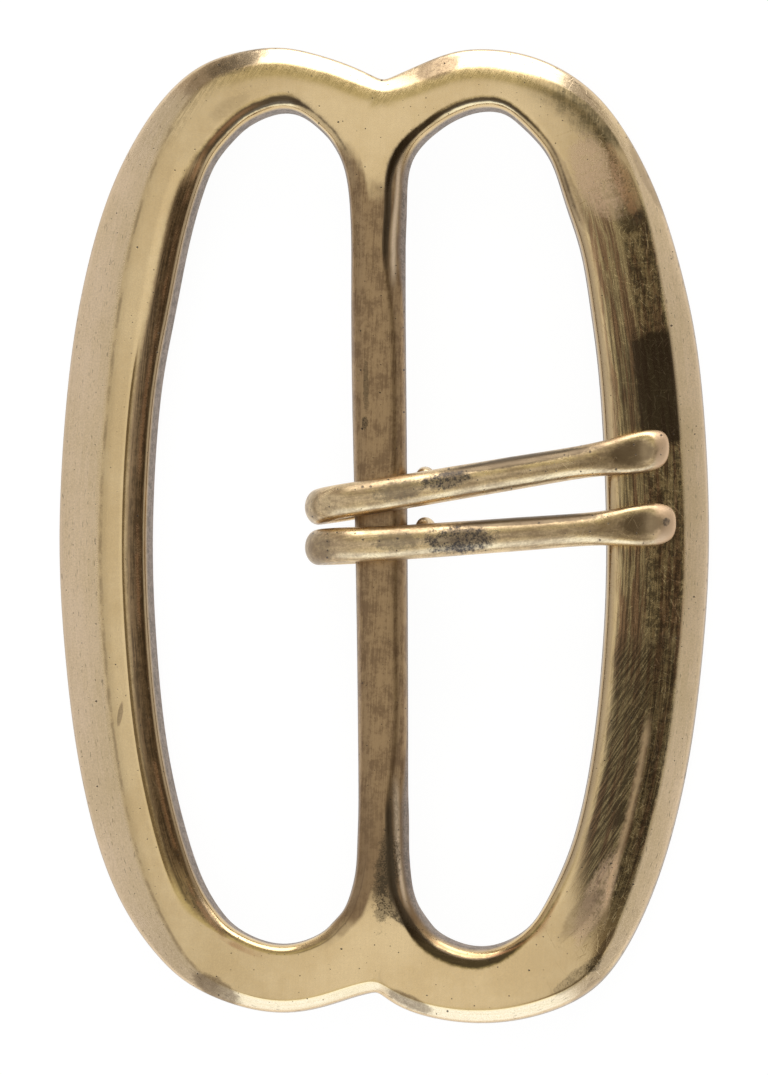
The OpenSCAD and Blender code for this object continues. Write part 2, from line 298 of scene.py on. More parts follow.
        "topRight": ("round", "thinBand", "open"),
        "shoulder": ("steep", "soft", "open"),
        "leftBow": ("left", "leftHollow", "open"),
        "rightBow": ("right", "rightRound", "open"),
        "lowLeft": ("sharp", "soft", "open"),
        "lowRight": ("sharp", "wideBand", "open"),
        "lowTurn": ("sharp", "soft", "open"),
        "fork": ("flat", "soft", "wideBand", "open"),
        "topFork": ("flat", "soft", "closeBand", "open"),
        "midFork": ("flat", "soft", "midBand", "open"),
        "innerFork": ("stem", "stemLight", "innerBand", "bar"),
        "highStem": ("stem", "stemLight", "farBand", "bar"),
        "stem": ("stem", "stemLight", "stemDark", "bar"),
        "softStem": ("stem", "stemLight", "stemSoft", "bar"),
        "bar": ("stem", "bar", "bar", "bar"),
    },
    "castFrom": 13,  # from this point of a section on, the casting isn't polished
}


def backHeight(x):
    return frameLook["archRise"] * max(0, 1 - (x / frameLook["footX"]) ** 2)


def overBack(x, y, height):
    return Vector((x, y, backHeight(x) + height)) * mm


def bevelWay(outer, hole, notchX):
    # across the frame, but straight up or down in a notch
    part = min(1, abs(outer.x - notchX) / frameLook["notchTurn"])
    down = Vector((0, -math.copysign(1, outer.y)))
    return down.lerp((hole - outer).normalized(), part).normalized()


def sectionRow(name, side):
    # each point's part of the way to the opening, distance back from it, height and tarnish
    front, *edges, under = frameLook["section"][name]
    edge = edges[0 if side == "left" else -1]
    row = [n for part, height in frameLook["front"][front] for n in (part, 0, height, 0)]
    row += [n for point in frameLook["edge"][edge] for n in (1, *point)]
    row += [n for point in frameLook["under"][under] for n in (1, *point, 0)]
    return row


def sectionSpots(row, ridge, hole, along):
    # the front of a station, from its ridge over the edge of the opening and under it
    across = hole - ridge
    spots = []
    for n, k in enumerate(range(2, len(row), 4)):
        part, inset, height, hollow = row[k : k + 4]
        point = ridge + across * part - across.normalized() * inset
        cast = eased(frameLook["castFrom"] - 1, frameLook["castFrom"], n)
        fromRidge = (point - ridge).length
        place = (along, fromRidge, across.length - fromRidge)
        spots.append((overBack(*point, height), place, (0, cast, hollow)))
    return spots


def bevelSpots(ridgeTop, rimTop, rimFoot, along, width):
    # a station's bevel, gently swelling, then the soft rim and the cast side under it
    look = frameLook
    rimPlace = (along, -width, look["farFromOpening"])
    spots = []
    for part in look["bevelSteps"]:
        swell = Vector((0, 0, look["bevelSwell"] * math.sin(part * math.pi))) * mm
        spots.append((ridgeTop.lerp(rimTop, part) + swell, (along, -part * width, rimPlace[2]), (1, 0, 0)))
    spots.append((rimTop - Vector((0, 0, look["rimSoft"])) * mm, rimPlace, (1, look["rimCast"], 0)))
    spots.append((rimTop.lerp(rimFoot, look["sideStep"]), rimPlace, (0, 1, 0)))
    return spots


def halfStations(side):
    # every station of one half, round its bow and back along the bar: its section, and its bevel on the bow
    look = frameLook
    bow, bar = look["bowSide"][side], look["bar"]
    barEdge = 2 if side == "left" else 3
    inner = [[row[2], row[3]] + sectionRow(row[5], side) for row in bow]
    inner += [[row[barEdge], row[1]] + sectionRow(row[4], side) for row in bar]
    inner = evened(inner, True)
    outer = evened([[row[0], row[1], row[4]] for row in bow], False)
    notchTop, notchLow = Vector(bow[0][:2]), Vector(bow[-1][:2])
    middles = [[0, row[0]] for row in bar]
    front = [[notchLow.x, notchLow.y + bow[-1][4]]] + middles + [[notchTop.x, notchTop.y - bow[0][4]]]
    back = [list(notchLow)] + middles + [list(notchTop)]
    bowEnd = len(bow) - 1
    barSteps = (len(front) - 1) * look["stepsBar"]
    places = [n / look["stepsRound"] for n in range(bowEnd * look["stepsRound"] + 1)]
    places += [bowEnd + n / look["stepsBar"] for n in range(1, barSteps)]
    stations = []
    along, before = 0, None
    for place in places:
        row = rowAt(inner, place, True)
        hole = Vector(row[:2])
        onBow = place <= bowEnd
        if onBow:
            *rimPoint, width = rowAt(outer, place, False)
            rim = Vector(rimPoint)
            ridge = rim + bevelWay(rim, hole, notchTop.x if rim.y > 0 else notchLow.x) * width
            foot = rim.lerp(hole, max(look["footIn"], (abs(rim.x) - look["footX"]) / (hole - rim).length))
            low = 0
        else:
            ridge = Vector(rowAt(front, place - bowEnd, False))
            rim = Vector(rowAt(back, place - bowEnd, False))
            foot = rim.lerp(hole, 0.5)
            low = row[-2]
        along += (ridge - before).length if before else 0
        before = ridge
        section = sectionSpots(row, ridge, hole, along)
        for point in (foot, rim):
            section.append((overBack(*point, low), (along, 0, 0), (0, 1, 0)))
        bevel = []
        if onBow:
            drop = look["bevelDrop"][0] + look["bevelDrop"][1] * width
            rimTop = overBack(*rim, row[4] - drop)
            bevel = bevelSpots(section[0][0], rimTop, section[-1][0], along, width) + [section[-1]]
        stations.append((section, bevel))
    return stations


def makeFrame():
    bm = startedMesh()
    for side in ("left", "right"):
        stations = halfStations(side)
        loop = ridgeLoop = firstLoop(bm, [section[0] for section, bevel in stations])
        for k in range(1, len(stations[0][0])):
            loop = pulledLoop(bm, loop, [section[k] for section, bevel in stations])
        bevels = [bevel for section, bevel in stations if bevel]
        line = ridgeLoop[: len(bevels)]
        for k in range(len(bevels[0])):
            line = pulledLoop(bm, line, [bevel[k] for bevel in bevels], closed=False)
    bmesh.ops.remove_doubles(bm, verts=bm.verts, dist=frameLook["mergeWithin"] * mm)
    bmesh.ops.recalc_face_normals(bm, faces=bm.faces)
    loose = [edge for edge in bm.edges if len(edge.link_faces) != 2]
    print("frame", len(bm.verts), "points", len(bm.faces), "faces", len(loose), "open edges")
    return madePiece(bm, "buckle_frame", "frame", "frame", frameLook["smoothing"])


buckleFrame = makeFrame()


# the two prongs, in millimetres: wire bent round the bar, with a tail at the top and a flattened, dished tip
prongLook = {
    "barAxis": 5.65,  # height of the bar's axis over the table
    "holeRadius": 2.55,
    "loopLeft": -2.1,  # centres of the two bends
    "loopRight": 0.5,
    "tailSize": (2.9, 2.2),  # width and thickness
    "tailTurn": 28,  # degrees round the bar at which the tail ends, and its neck starts
    "neckTurn": 24,
    "nub": (1.5, 1.0),
    "neck": (2.3, 1.7),
    "softBend": 2,
    "stretchFrom": 6.5,  # the rows past this are stretched to each prong's own reach
    "stepsBend": 7,
    "dishHalf": 0.8,  # half width of the dish, over the wire's
    "smoothing": 2,
    # reach, height over the bar's axis, width, thickness, depth of the dish
    "shank": [
        (-1.9, 3.9, 3.3, 2.7, 0.05),
        (0.5, 3.95, 3.25, 2.8, 0.12),
        (3.0, 3.87, 3.25, 3.0, 0.1),
        (6.5, 3.5, 3.25, 3.1, 0.02),
        (9.2, 3.14, 3.2, 3.05, 0),
        (12.0, 2.75, 3.2, 3.0, 0),
        (14.5, 2.36, 3.15, 2.9, 0),
        (17.0, 1.95, 3.1, 2.8, 0.02),
        (18.6, 1.68, 3.12, 2.7, 0.05),
        (20.0, 1.45, 3.22, 2.6, 0.15),
        (21.3, 1.2, 3.45, 2.52, 0.32),
        (22.5, 0.98, 3.75, 2.46, 0.45),
        (23.5, 0.76, 3.95, 2.42, 0.5),
        (24.3, 0.58, 4.0, 2.38, 0.48),
        (24.8, 0.48, 4.0, 2.34, 0.3),
        (25.1, 0.41, 3.95, 2.3, 0.06),
        (25.6, 0.28, 3.75, 2.15, 0),
        (26.15, 0.13, 3.35, 1.9, 0),
        (26.55, 0.02, 2.6, 1.5, 0),
        (26.8, -0.05, 1.3, 0.8, 0),
    ],
    "sides": 16,
    # place on the bar, reach, slopes of the shank and of the loop, how far the tail stands out and goes on
    "prong": {
        "upper": dict(place=3.2, reach=26.4, slope=9.7, loopSlope=8, tailOut=0.95, tailOn=1.2),
        "lower": dict(place=-1.2, reach=27.0, slope=4.3, loopSlope=1.2, tailOut=1.15, tailOn=0.7),
    },
}


def swayAt(x, one):
    # how far along the bar the wire has gone at a reach
    start, end = (math.tan(math.radians(one[name])) for name in ("loopSlope", "slope"))
    return x * start + ((end - start) * x * x / (x + prongLook["softBend"]) if x > 0 else 0)


def wireRows(one):
    # rows of place, width, thickness and dish: the tail, the loop round the bar, and the shank to the tip
    look = prongLook
    bend = look["stepsBend"]
    width, thick = look["tailSize"]
    highRadius, shankWidth, shankThick = look["shank"][0][1:4]
    lowRadius = look["holeRadius"] + thick / 2
    rows = []
    for n in range(-1, bend + 1):
        turn = math.radians(look["tailTurn"] if n < 0 else mixed(look["neckTurn"], -90, n / bend))
        x = look["loopRight"] + lowRadius * math.cos(turn) + (one["tailOn"] if n < 0 else 0)
        out = one["tailOut"] * (1 - max(n, 0) / bend)
        size = look["nub"] if n < 0 else look["neck"] if n < 1 else (width, thick)
        rows.append((x, out + swayAt(x, one), lowRadius * math.sin(turn), *size, 0))
    for n in range(2 * bend + 1):
        part = n / (2 * bend)
        turn = math.radians(mixed(-90, -270, part))
        radius = mixed(lowRadius, highRadius, part)
        x = look["loopLeft"] + radius * math.cos(turn)
        wide = mixed(width, shankWidth, min(1, 2 * part))
        rows.append((x, swayAt(x, one), radius * math.sin(turn), wide, mixed(thick, shankThick, part), 0))
    start, fullReach = look["stretchFrom"], look["shank"][-1][0]
    stretch = (one["reach"] - start) / (fullReach - start)
    for away, *rest in look["shank"][1:]:
        x = min(away, start) + max(away - start, 0) * stretch
        rows.append((x, swayAt(x, one), *rest))
    return rows


def wireRing(rows, n, place):
    # one ring of the wire, square to its run, with the dish pressed into its upper side
    look = prongLook
    x, y, z, wide, deep, dish = rows[n]
    ahead, behind = rows[min(n + 1, len(rows) - 1)], rows[max(n - 1, 0)]
    way = Vector((ahead[0] - behind[0], ahead[2] - behind[2])).normalized()
    spots = []
    for k in range(look["sides"]):
        turn = 2 * math.pi * k / look["sides"]
        out = math.cos(turn) * wide / 2
        pressed = dish * max(0, 1 - (math.cos(turn) / look["dishHalf"]) ** 2)
        up = math.sin(turn) * deep / 2 - (pressed if math.sin(turn) > 0 else 0)
        spots.append((Vector((x - way.y * up, y + out + place, z + way.x * up + look["barAxis"])) * mm,))
    return spots


def makeProng(name):
    one = prongLook["prong"][name]
    rows = wireRows(one)
    bm = startedMesh()
    loop = firstLoop(bm, wireRing(rows, 0, one["place"]))
    bm.faces.new(loop)
    for n in range(1, len(rows)):
        loop = pulledLoop(bm, loop, wireRing(rows, n, one["place"]))
    bm.faces.new(loop)
    bmesh.ops.recalc_face_normals(bm, faces=bm.faces)
    print("prong", name, len(bm.faces), "faces")
    node = "prong_" + name
    return madePiece(bm, node + "_wire", node, node, prongLook["smoothing"])


prongs = [makeProng("upper"), makeProng("lower")]


# what the finishes are made from
class Tone:
    # a number or a colour that varies over a surface, so that a finish can be written as sums and products
    def __init__(self, socket):
        self.socket = socket
        self.tree = socket.id_data

    def __add__(self, other):
        return worked("ADD", self, other)

    def __sub__(self, other):
        return worked("SUBTRACT", self, other)

    def __rsub__(self, other):
        return worked("SUBTRACT", other, self)

    def __mul__(self, other):
        return worked("MULTIPLY", self, other)

    __radd__ = __add__
    __rmul__ = __mul__


def plug(socket, value):
    if isinstance(value, Tone):
        value.tree.links.new(value.socket, socket)
    else:
        socket.default_value = value


def newNode(kind, *values):
    # a node in the tree that the values come from
    tree = next(value.tree for value in values if isinstance(value, Tone))
    return tree.nodes.new("ShaderNode" + kind)


def worked(kind, *values):
    node = newNode("Math", *values)
    node.operation = kind
    for socket, value in zip(node.inputs, values):
        plug(socket, value)
    return Tone(node.outputs[0])


def strongest(*values):
    total = values[0]
    for value in values[1:]:
        total = worked("MAXIMUM", total, value)
    return total


def sloped(value, low, high, start=0, end=1):
    # a soft step between two levels, while the value goes from low to high
    node = newNode("MapRange", value)
    node.interpolation_type = "SMOOTHSTEP"
    names = ("Value", "From Min", "From Max", "To Min", "To Max")
    for name, number in zip(names, (value, low, high, start, end)):
        plug(node.inputs[name], number)
    return Tone(node.outputs["Result"])


def strip(value, low, high, soft):
    # 1 between two values, and softly 0 outside them
    return sloped(value, low - soft, low + soft) * sloped(value, high - soft, high + soft, 1, 0)


def blendedNumber(part, first, second):
    node = newNode("Mix", part, first, second)
    for socket, value in zip((node.inputs[0], node.inputs[2], node.inputs[3]), (part, first, second)):
        plug(socket, value)
    return Tone(node.outputs[0])


def blended(part, first, second):
    # two colours
    node = newNode("Mix", part, first, second)
    node.data_type = "RGBA"
    sockets = {socket.identifier: socket for socket in (*node.inputs, *node.outputs)}
    for name, value in (("Factor_Float", part), ("A_Color", first), ("B_Color", second)):
        plug(sockets[name], (*value, 1) if isinstance(value, tuple) else value)
    return Tone(sockets["Result_Color"])


def splitUp(where, kind="SeparateXYZ"):
    node = newNode(kind, where)
    plug(node.inputs[0], where)
    return [Tone(socket) for socket in node.outputs]


def vectorWorked(kind, first, second=(0, 0, 0)):
    node = newNode("VectorMath", first)
    node.operation = kind
    plug(node.inputs[0], first)
    plug(node.inputs[1], second)
    return Tone(node.outputs["Value" if kind == "LENGTH" else "Vector"])


def scaled(where, amounts, turn=0):
    # coordinates in millimetres, turned about +Z and then stretched
    if turn:
        turned = newNode("Mapping", where)
        plug(turned.inputs["Vector"], where)
        plug(turned.inputs["Rotation"], (0, 0, math.radians(turn)))
        where = Tone(turned.outputs[0])
    return vectorWorked("MULTIPLY", where, amounts)


def cloud(where, size, detail=3, rough=0.55, warp=0):
    # noise with lumps of a size in millimetres, or in the units that the coordinates were stretched to
    node = newNode("TexNoise", where)
    names = ("Vector", "Scale", "Detail", "Roughness", "Distortion")
    for name, value in zip(names, (where, 1 / size, detail, rough, warp)):
        plug(node.inputs[name], value)
    return Tone(node.outputs[0])


# the soft edges of the marks, as parts of a scratch's width, of a cell, and of a pit's or a patch's size
markLook = {
    "scratchSide": 0.25,
    "scratchEnds": (0.3, 0.75),
    "pitSide": 0.35,
    "patchEdge": (0.75, 1.15),
    "patchDeep": 1000,  # a patch goes right through the metal
}


def cells(where, gap):
    # a flat grid of uneven cells: distance from the middle of each, that middle, and two random numbers
    node = newNode("TexVoronoi", where)
    node.voronoi_dimensions = "2D"
    plug(node.inputs["Vector"], where)
    plug(node.inputs["Scale"], 1 / gap)
    distance, colour, middle = (Tone(node.outputs[name]) for name in ("Distance", "Color", "Position"))
    return distance, middle, splitUp(colour, "SeparateColor")[:2]


def scratches(where, gap, width, direction, spread):
    # one straight scratch in each cell, seen from above: cell size, width, direction and how far it varies
    distance, middle, (pick, strength) = cells(where, gap)
    x, y = splitUp(vectorWorked("SUBTRACT", where, middle))[:2]
    turn = sloped(pick, 0, 1, math.radians(direction - spread), math.radians(direction + spread))
    across = x * worked("SINE", turn) - y * worked("COSINE", turn)
    line = sloped(worked("ABSOLUTE", across), width * markLook["scratchSide"], width, 1, 0)
    reach = sloped(distance, *markLook["scratchEnds"], 1, 0)
    return line * reach * strength


def pits(where, gap, size, share):
    # small round pits in some of the cells, seen from above
    distance, _, (pick, depth) = cells(where, gap)
    inside = sloped(depth * (size / gap) - distance, 0, markLook["pitSide"] * size / gap)
    return worked("LESS_THAN", pick, share) * inside


def smudge(where, ragged, middle, size, turn, strength):
    # an oval patch with a ragged edge
    oval = newNode("Mapping", where)
    oval.vector_type = "TEXTURE"
    plug(oval.inputs["Vector"], where)
    plug(oval.inputs["Location"], (*middle, 0))
    plug(oval.inputs["Rotation"], (0, 0, math.radians(turn)))
    plug(oval.inputs["Scale"], (*size, markLook["patchDeep"]))
    away = vectorWorked("LENGTH", Tone(oval.outputs[0]))
    return sloped(away + ragged, *markLook["patchEdge"], strength, 0)


class Finish:
    # a material of the buckle, with the tones that it is mixed from under their own names, in millimetres
    def __init__(self, name, look):
        self.look = look
        self.material = bpy.data.materials.new(name)
        self.material.use_nodes = True
        texture = self.material.node_tree.nodes.new("ShaderNodeTexCoord")
        self.where = scaled(Tone(texture.outputs["Object"]), (1 / mm, 1 / mm, 1 / mm))
        self.x, self.y = splitUp(self.where)[:2]
        for noise, row in look["clouds"].items():
            setattr(self, noise, cloud(self.where, *row))
        self.addStreaks(self.where, look["streaks"])
        self.ragged = look["raggedness"] * (self.speckle - 0.5)
        self.pitted = strongest(*[pits(self.where, *row) for row in look["pits"]])

    def addStreaks(self, where, rows):
        for noise, (stretch, turn, *row) in rows.items():
            setattr(self, noise, cloud(scaled(where, stretch, turn), 1, *row))

    def layer(self, name):
        # what the mesh's points carry
        node = newNode("Attribute", self.where)
        node.attribute_name = name
        return Tone(node.outputs["Vector"])

    def strong(self, name):
        # a tone at its own strength
        return self.look["strength"][name] * getattr(self, name)

    def summed(self, shares):
        # tones added up, each with its share
        parts = []
        for name, share in shares.items():
            tone = getattr(self, name)
            parts.append(tone if share == 1 else share * tone)
        return sum(parts[1:], start=parts[0])

    def measure(self, name):
        return self.summed(self.look["measure"][name])

    def mix(self, name):
        shares, limits = self.look["mix"][name]
        return sloped(self.summed(shares), *limits)

    def area(self, name):
        # softly 1 inside all the limits of an area
        parts = []
        for measure, limits, *ragged in self.look["area"][name]:
            value = getattr(self, measure)
            if ragged:
                value = value + ragged[0] * self.ragged
            parts.append(strip(value, *limits) if len(limits) == 3 else sloped(value, *limits))
        return math.prod(parts[1:], start=parts[0])

    def patches(self, tint, ragged):
        rows = self.look[tint + "Patches"]
        return strongest(*[smudge(self.where, ragged * self.ragged, *row) for row in rows])

    def done(self, colour, rough):
        # the tones go to the material's shader, with the relief's depth in millimetres
        shader = self.material.node_tree.nodes["Principled BSDF"]
        height = self.summed(self.look["relief"])
        bump = newNode("Bump", height)
        plug(bump.inputs["Height"], height)
        plug(bump.inputs["Strength"], 1)
        plug(bump.inputs["Distance"], self.look["depth"] * mm)
        plug(shader.inputs["Base Color"], colour)
        plug(shader.inputs["Metallic"], 1)
        plug(shader.inputs["Roughness"], rough + self.summed(self.look["duller"]))
        plug(shader.inputs["Normal"], Tone(bump.outputs[0]))
        print("finish", self.material.name, len(self.material.node_tree.nodes), "nodes")
        return self.material


# the frame's finish: polished faces, brushed bevels, a tarnished bar and cast walls
frameFinish = {
    "gold": (0.84, 0.635, 0.35),
    "warm": (0.75, 0.55, 0.285),
    "pale": (0.88, 0.68, 0.465),
    "paleDark": (0.74, 0.565, 0.335),
    "lip": (0.46, 0.34, 0.21),  # the last stretch before an opening
    "hollow": (0.42, 0.29, 0.165),  # tarnish that the polishing didn't reach
    # nearly black: tarnish, and painted shade where the hollows lie on the right half and at the top
    "hollowDark": (0.07, 0.05, 0.03),
    # painted shade, laid beside the ridge on the top right face and along the ridge at the top
    "shade": (0.17, 0.135, 0.07),
    "red": (0.46, 0.23, 0.11),
    "crown": (0.72, 0.56, 0.29),  # the right bow is the most worn
    "crownRed": (0.42, 0.26, 0.14),
    "crownLine": (0.80, 0.58, 0.34),
    # near-black on the right bow's crown: partly tarnish, partly a painted dark reflection
    "crownDark": (0.06, 0.044, 0.028),
    "bar": (0.235, 0.15, 0.08),
    "barWorn": (0.395, 0.265, 0.14),
    "cast": (0.385, 0.315, 0.265),
    "castDark": (0.23, 0.19, 0.16),
    "pit": (0.05, 0.038, 0.03),
    "brown": (0.17, 0.11, 0.065),
    "dark": (0.09, 0.066, 0.04),
    "pink": (0.87, 0.62, 0.43),
    "faceRough": 0.16,
    "bevelRough": 0.34,
    "crownRough": 0.26,
    "barRough": 0.34,
    "castRough": 0.6,
    "depth": 0.02,  # of the relief, in millimetres
    # how much each tone makes the brass duller, and how far it stands out in the relief
    "duller": {
        "scratched": 0.12,
        "stain": 0.12,
        "redLine": 0.2,
        "paleLine": 0.35,
        "shoulder": 0.1,
        "turned": 0.12,
        "grainRough": 1,
    },
    "relief": {
        "brushing": 1,
        "combed": 0.03,
        "barCombed": 0.1,
        "grain": 0.06,
        "castGrain": 0.5,
        "lumps": 0.8,
        "scratched": -0.35,
        "pitted": -2,
    },
    # how strong the tone of each line or mark is
    "strength": {
        "paleLine": 0.7,
        "stemLine": 0.9,
        "lip": 0.8,
        "redLine": 0.8,
        "leftRidge": 0.5,
        "facetLine": 0.8,
        "solid": 0.9,
        "topStrip": 0.6,
        "pitted": 0.85,
        "dashes": 0.45,
    },
    # size, detail and roughness of the noise
    "clouds": {
        "wander": (2.5, 3),
        "mottle": (7, 3, 0.6),
        "speckle": (0.9, 5, 0.85),
        "grain": (0.16, 2, 0.7),
        "lumps": (3.2, 1),
        "stains": (4.2, 2, 0.7),
    },
    # noise drawn out over the buckle and along the bows: stretch, direction, detail and roughness
    "streaks": {
        "combed": ((6, 0.3, 0.3), 3, 2, 0.7),  # up and down the faces and the bar
        "hairs": ((0.35, 6, 0), -57, 2, 0.7),
    },
    "bowStreaks": {
        "brushed": ((0.14, 5, 0), 0, 3, 0.75),
        "streaked": ((0.08, 1.3, 0), 0, 4, 0.75),
        "dashed": ((1.1, 7, 0), 0, 1),
    },
    "raggedness": 2.2,
    # cell size, width, direction and its spread: all over, slanted, and upright
    "scratches": [(2.3, 0.036, 60, 120), (0.9, 0.032, 48, 40), (0.62, 0.03, 95, 60)],
    # cell size, size and share of the cells
    "pits": [(1.9, 0.13, 0.2), (0.7, 0.07, 0.25)],
    # measures made of others: the share of each
    "measure": {
        "barHigh": {"fromMiddle": 1, "wander": 4, "barBand": 1},
        "crownHigh": {"high": 1, "upper": 4, "streaked": 6},
        "crownIn": {"fromOpening": 1, "streaked": 1.6},
        "fromBand": {"fromRidge": 1, "ragged": 0.4},
        "slant": {"y": 1, "x": -0.28},
    },
    "barMiddle": -1.2,
    # mixtures of noise: the share of each, then low, high and the two levels
    "mix": {
        "freckle": ({"speckle": 0.6, "grain": 0.4}, (0.44, 0.56)),
        "warm": ({"mottle": 0.55, "speckle": 0.25, "grain": 0.2}, (0.4, 0.6)),
        "pale": ({"mottle": 0.4, "brushed": 0.35, "grain": 0.25}, (0.4, 0.6, 0, 0.6)),
        "crownRed": ({"streaked": 1}, (0.44, 0.58)),
        "innerLow": ({"hairs": 1}, (0.42, 0.62, 0.88, 0.42)),
        "innerTop": ({"brushed": 1}, (0.42, 0.56, 0.65, 0)),
        "outerLow": ({"speckle": 0.4, "brushed": 0.35, "grain": 0.25}, (0.42, 0.58, 0.3, 0.95)),
        "outerTop": ({"speckle": 0.5, "combed": 0.25, "grain": 0.25}, (0.45, 0.55, 0.1, 0.8)),
        "shoulder": ({"combed": 0.3, "speckle": 0.7}, (0.45, 0.56, 0.9, 0.5)),
        "turned": ({"hairs": 0.5, "speckle": 0.5}, (0.44, 0.56, 0, 0.35)),
        "barWorn": ({"wander": 0.3, "combed": 0.25, "speckle": 0.45}, (0.42, 0.56)),
        "tarnish": ({"brushed": 0.6, "speckle": 0.4}, (0.42, 0.56, 0.35, 1)),
        "fine": ({"grain": 0.8, "combed": 0.2}, (0.4, 0.62, 0.12, 0)),
        "stain": ({"stains": 1}, (0.6, 0.74, 0, 0.35)),
        "streaky": ({"freckle": 0.5, "combed": 0.5}, (0.2, 0.75)),
        "leftRidge": ({"wander": 1, "grain": 0.5}, (0.6, 0.85)),
        "redLeft": ({"mottle": 1}, (0.4, 0.52)),
        "dashes": ({"dashed": 1}, (0.66, 0.73)),
        "grainRough": ({"grain": 1}, (0.3, 0.7, -0.04, 0.05)),
        "bowScratches": ({"rightBow": 1}, (0, 1, 0.3, 0.9)),
        "bevelBrush": ({"bevel": 1}, (0, 1, 0.12, 0.28)),
        "deepTarnish": ({"deep": 1}, (0, 1, 1, 0.12)),
        "hollow": ({"hollowIn": 1, "ragged": 0.35}, (0.1, 0.7)),
    },
    # areas: what each is measured by, its limits in millimetres, and how ragged they are. Two limits are
    # a soft edge, four give the levels on its two sides too, and three are a strip and how soft its sides are
    "area": {
        "upper": [("y", (-12, -8), 2)],
        "bowSide": [("high", (32, 40, 1, 0))],
        "rightBow": [("x", (16.5, 19.5))],
        "nearBar": [("wide", (4.5, 6.5, 1, 0))],
        "barForm": [("high", (31, 34, 1, 0))],
        "barBand": [("fromOpening", (1.2, 2.4, -3.2, 0))],
        "bar": [("barHigh", (33.0, 36.5, 1, 0))],
        "barFade": [("y", (-30, -20, 0.45, 1))],
        "crown": [("crownHigh", (35, 42, 1, 0)), ("crownIn", (1.5, 2.5))],
        "reachLow": [("y", (-40, -31, 0.8, 2.1))],  # how far the near-black tarnish and painted dark reflection comes in from the ridge
        "reachTop": [("y", (18.2, 19.2, 3.4, 2.7))],
        "outer": [("pastReach", (-0.2, 0.25, 1, 0)), ("y", (29.4, 31.2, 1, 0), 1.5)],
        "solid": [("slant", (0.5, 11.4, 0.5), 1.5)],
        "topStrip": [("y", (27.5, 29.2, 0.6), 2.5)],
        "innerFade": [("y", (16, 26, 1, 0.5))],
        "paleLine": [("y", (-16, -19)), ("pastReach", (-0.3, 0.15, 0.35))],
        "paleRim": [("fromRidge", (-2.6, -0.4, 0.4, 0))],
        # a thin strip along the left bow's ridge, where a broken brown line of painted shade goes
        "leftRidge": [("x", (-14, -18)), ("fromRidge", (-0.1, 0.18, 0.12), 0.2)],
        # where the shade is painted: beside the ridge on the top right, and along the ridge at the top
        "shoulder": [("x", (15, 30, 2.5)), ("y", (35.4, 50, 0.8)), ("fromRidge", (0.6, 2.9, 1, 0), 0.8)],
        "turned": [("y", (34, 39)), ("fromRidge", (0.3, 1.8, 1, 0), 0.5)],
        "overBar": [("y", (38.8, 39.8))],
        "lip": [("fromOpening", (0.5, 1.3, 1, 0)), ("high", (30, 36, 1, 0.1))],
        "redLeft": [("x", (-10, -14)), ("fromOpening", (1.15, 1.4, 0.25), 0.15)],
        "redLow": [("x", (2, 6)), ("y", (-32, -35)), ("fromOpening", (0.95, 1.1, 0.15))],
        "facetLine": [("x", (-8, -1, 1)), ("y", (-28, -31)), ("fromOpening", (1.05, 1.12, 0.07), 0.06)],
        "stemLine": [("x", (0.2, 0.6)), ("high", (23.5, 34, 1.5)), ("fromOpening", (0.9, 1.35, 0.2))],
        # the right half and the top, where the hollows are painted nearly black as shade
        "deepRight": [("x", (-1, 1))],
        "deepTop": [("y", (33, 36))],
        "hollow": [("fromOpening", (0.5, 0.95))],
        "slanted": [("y", (-8, -12))],
    },
    # how ragged the patches of each tint are, their least strength, and how much duller they are
    "patches": {"pink": (0.6, 0.5, 2), "red": (0.6, 0.4, 4), "brown": (0.5, 0.8, 1), "dark": (1, 0.5, 1)},
    # middle, half sizes, direction, strength
    "brownPatches": [
        ((-15.3, -41.8), (2.6, 1.0), -32, 0.75),
        ((2.5, -43.0), (2.3, 0.6), -26, 0.75),
        ((-24.2, -16.5), (1.1, 0.25), 80, 0.6),
        ((20.4, -37.8), (1.9, 0.3), 57, 0.7),
        ((18.2, -35.0), (3.0, 0.9), 52, 0.35),
        ((17.4, 31.6), (4.6, 0.6), -66, 0.4),
        ((24.7, 32.6), (4.5, 0.7), -64, 0.4),
        ((19.0, -42.2), (3.5, 0.7), 42, 0.35),
        ((-16.2, 42.2), (2.6, 0.8), 42, 0.4),
        ((5.4, 42.7), (2.2, 1.0), 20, 0.8),
    ],
    "darkPatches": [
        ((-13.2, 43.4), (3.0, 0.9), 22, 0.8),
        ((19.3, -39.7), (1.2, 0.5), 50, 0.9),
        ((17.6, -40.9), (2.6, 0.6), 38, 0.5),
        ((23.6, 28.9), (0.9, 0.5), 60, 0.9),
        ((-16.3, -34.6), (3.1, 0.5), -52, 0.6),
        ((0.5, -31.6), (4.4, 1.15), 84, 1),
        ((22.9, 12.0), (6.5, 0.9), 94, 0.5),
        # painted shade where the face turns at the top left
        ((-13.9, 39.2), (2.0, 0.8), 30, 0.2),
        ((1.5, -35.3), (1.7, 0.45), -40, 0.9),
        ((1.1, -26.0), (3.5, 0.5), 90, 0.5),
        ((-1.3, 13.4), (2.4, 0.3), 90, 0.6),
        ((-1.4, 10.0), (0.6, 0.3), 90, 1),
    ],
    "redPatches": [
        ((21.3, 35.0), (0.9, 0.4), -65, 0.4),
        ((21.5, 33.5), (1.2, 0.4), -72, 0.35),
        ((22.5, 31.8), (3.4, 0.9), -68, 0.5),
    ],
    "pinkPatches": [
        ((20.0, 32.6), (4.2, 2.2), -67, 0.7),
        ((19.6, -33.6), (4.6, 1.2), 66, 0.6),
    ],
}


